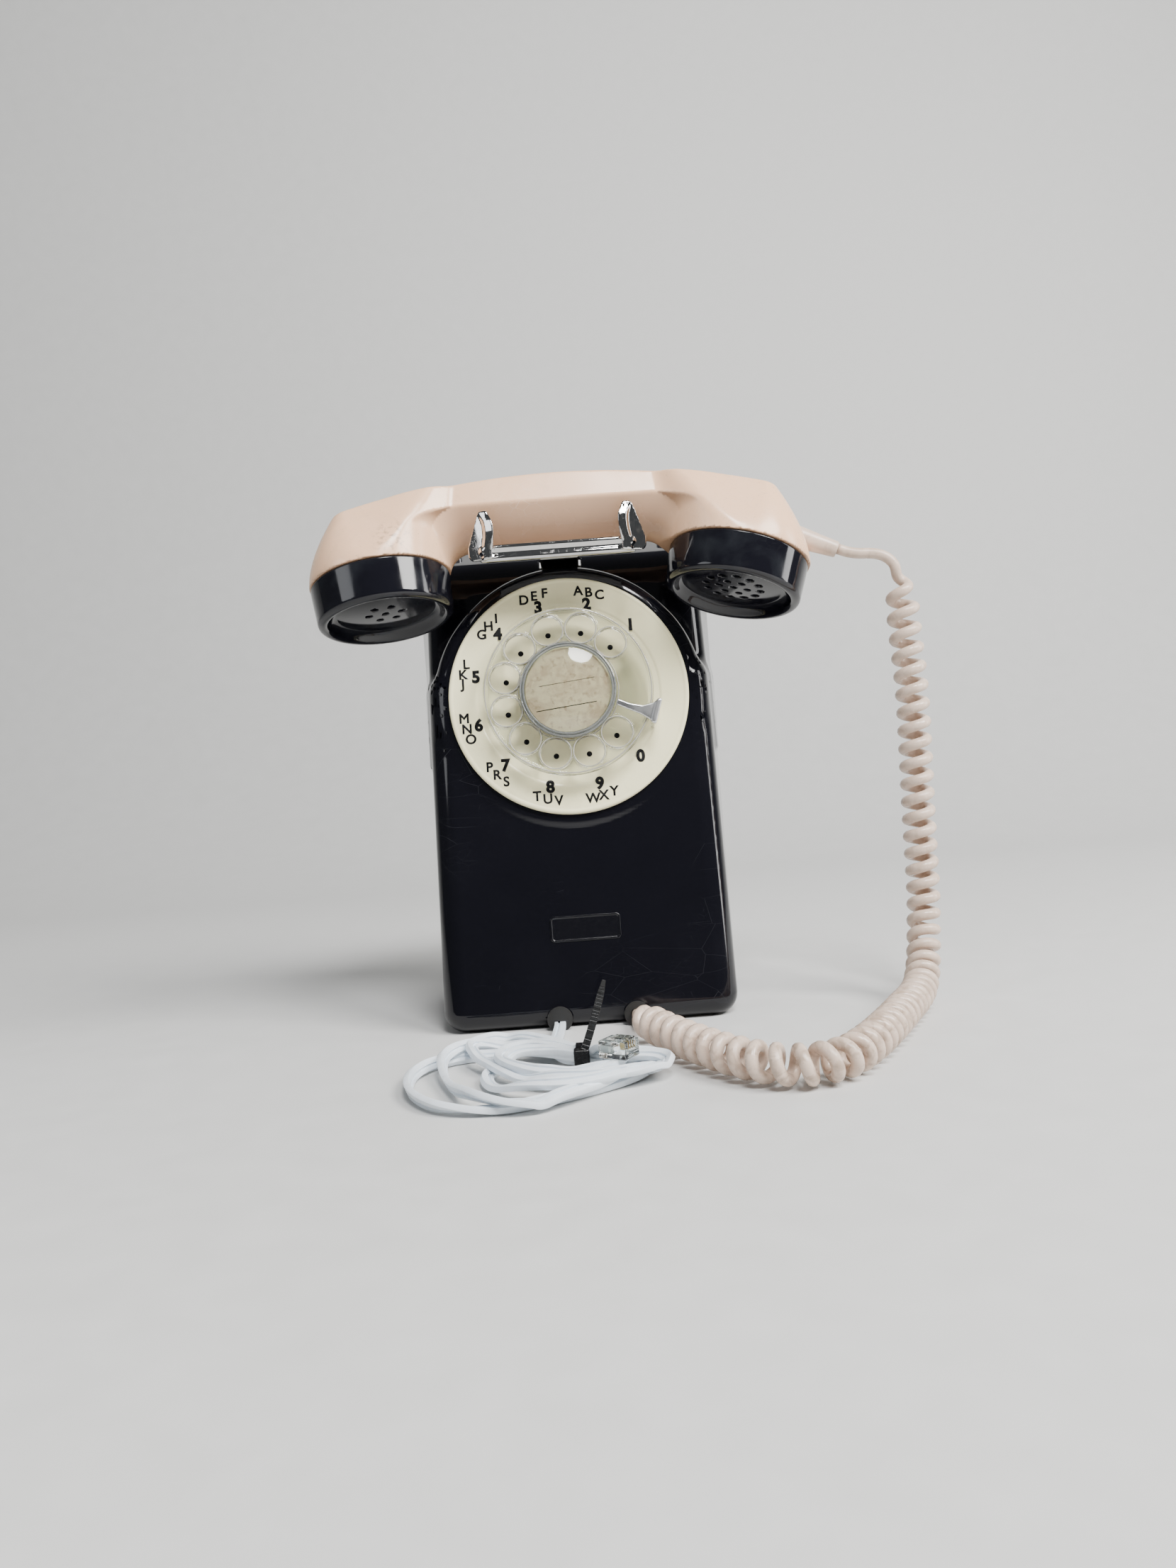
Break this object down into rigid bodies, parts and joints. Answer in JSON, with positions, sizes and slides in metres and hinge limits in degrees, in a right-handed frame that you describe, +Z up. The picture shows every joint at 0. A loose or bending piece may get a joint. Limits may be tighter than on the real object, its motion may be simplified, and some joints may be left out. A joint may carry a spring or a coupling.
{
  "type": "rotary wall telephone",
  "caption": "Wall telephone with a rotary dial, a handset on a chrome hook, a curly handset cord and a tied flat line cord.",
  "frame": {"origin": "middle of the footprint of the phone and its handset, on the surface that it stands on", "axes": "+X to the right of someone facing the dial, -Y out of the front, +Z up; the back that goes to the wall faces +Y"},
  "size_m": [0.2752, 0.2162, 0.2472],
  "materials": {
    "black_shell": "polished, fine scratches",
    "black_cap": "polished",
    "handset_pink": "worn satin",
    "cord_pink": "soft vinyl",
    "plate_cream": "satin",
    "clear_plastic": "clear, polished",
    "chrome": "polished, light wear",
    "steel": "plain",
    "zinc_plate": "zinc plated",
    "brass": "satin",
    "phenolic": "moulded",
    "copper_winding": "wound wire",
    "paper_card": "aged paper",
    "black_rubber": "matt",
    "black_nylon": "satin",
    "cord_white": "soft vinyl"
  },
  "bodies": {
    "base": {"housing": "black_shell", "base_plate": "zinc_plate", "housing_screws": "steel", "cord_grommets": "black_rubber", "hook_bracket": "zinc_plate", "hook_pin": "steel", "line_switch": "brass", "network_block": "phenolic", "network_screws": "brass", "ringer_frame": "zinc_plate", "ringer_coil": "copper_winding", "gongs": "brass", "gong_screws": "steel", "dial_bracket": "zinc_plate", "dial_frame": "zinc_plate", "dial_screws": "steel", "number_plate": "plate_cream", "finger_stop": "steel", "pulse_contacts": "brass", "return_spring": "steel", "governor_bearings": "zinc_plate", "handset_cord_lead": "cord_pink", "handset_cord_coil": "cord_pink", "handset_cord_end": "cord_pink", "line_cord_lead": "cord_white", "line_cord_bundle": "cord_white", "zip_tie": "black_nylon", "modular_plug": "clear_plastic"},
    "handset": {"handset_handle": "handset_pink", "receiver_cap": "black_cap", "transmitter_cap": "black_cap", "receiver_unit": "steel", "transmitter_unit": "brass", "transmitter_cup": "phenolic", "cord_boot": "cord_pink"},
    "hook": {"cradle_hook": "chrome", "switch_lever": "steel"},
    "dial": {"finger_wheel": "clear_plastic", "dial_hub": "clear_plastic", "number_card": "paper_card", "card_window": "clear_plastic", "dial_shaft": "brass", "main_gear": "brass"},
    "pinion": {"pinion_shaft": "steel", "pulse_cam": "phenolic", "worm_wheel": "brass"},
    "governor": {"governor_worm": "steel", "governor_weights": "brass"},
    "ringer_clapper": {"clapper": "steel"},
    "volume": {"volume_wheel": "black_nylon"}
  },
  "joints": [
    {"name": "handset_lift", "type": "slide", "parent": "base", "child": "handset", "axis": [0, 0, 1], "range_m": [0, 0.06]},
    {"name": "hook_rise", "type": "hinge", "parent": "base", "child": "hook", "pos_m": [0, 0.0372, 0.192], "axis": [-1, 0, 0], "range_deg": [0, 9]},
    {"name": "dial_turn", "type": "hinge", "parent": "base", "child": "dial", "pos_m": [0, -0.01552, 0.147], "axis": [0, 0.9877, -0.1564], "range_deg": [0, 333], "stiffness_Nm_per_rad": 0.004, "springref_deg": -34.38},
    {"name": "pinion_turn", "type": "hinge", "parent": "base", "child": "pinion", "pos_m": [0.03064, -0.01552, 0.147], "axis": [0, 0.9877, -0.1564], "range_deg": [-2000, 0]},
    {"name": "governor_turn", "type": "hinge", "parent": "base", "child": "governor", "pos_m": [0.02324, -0.00366, 0.14512], "axis": [0, 0.1564, 0.9877], "range_deg": [0, 10000]},
    {"name": "clapper_swing", "type": "hinge", "parent": "base", "child": "ringer_clapper", "pos_m": [0.025, 0.0432, 0.084], "axis": [0, 1, 0], "range_deg": [-2, 2]},
    {"name": "volume_turn", "type": "hinge", "parent": "base", "child": "volume", "pos_m": [0.025, 0.0232, 0.0185], "axis": [0, 1, 0], "range_deg": [-45, 45]}
  ],
  "couplings": [
    {"joint": "hook_rise", "follows": "handset_lift", "rad_per_m": 2.3271},
    {"joint": "pinion_turn", "follows": "dial_turn", "ratio": -6},
    {"joint": "governor_turn", "follows": "dial_turn", "ratio": 30}
  ]
}
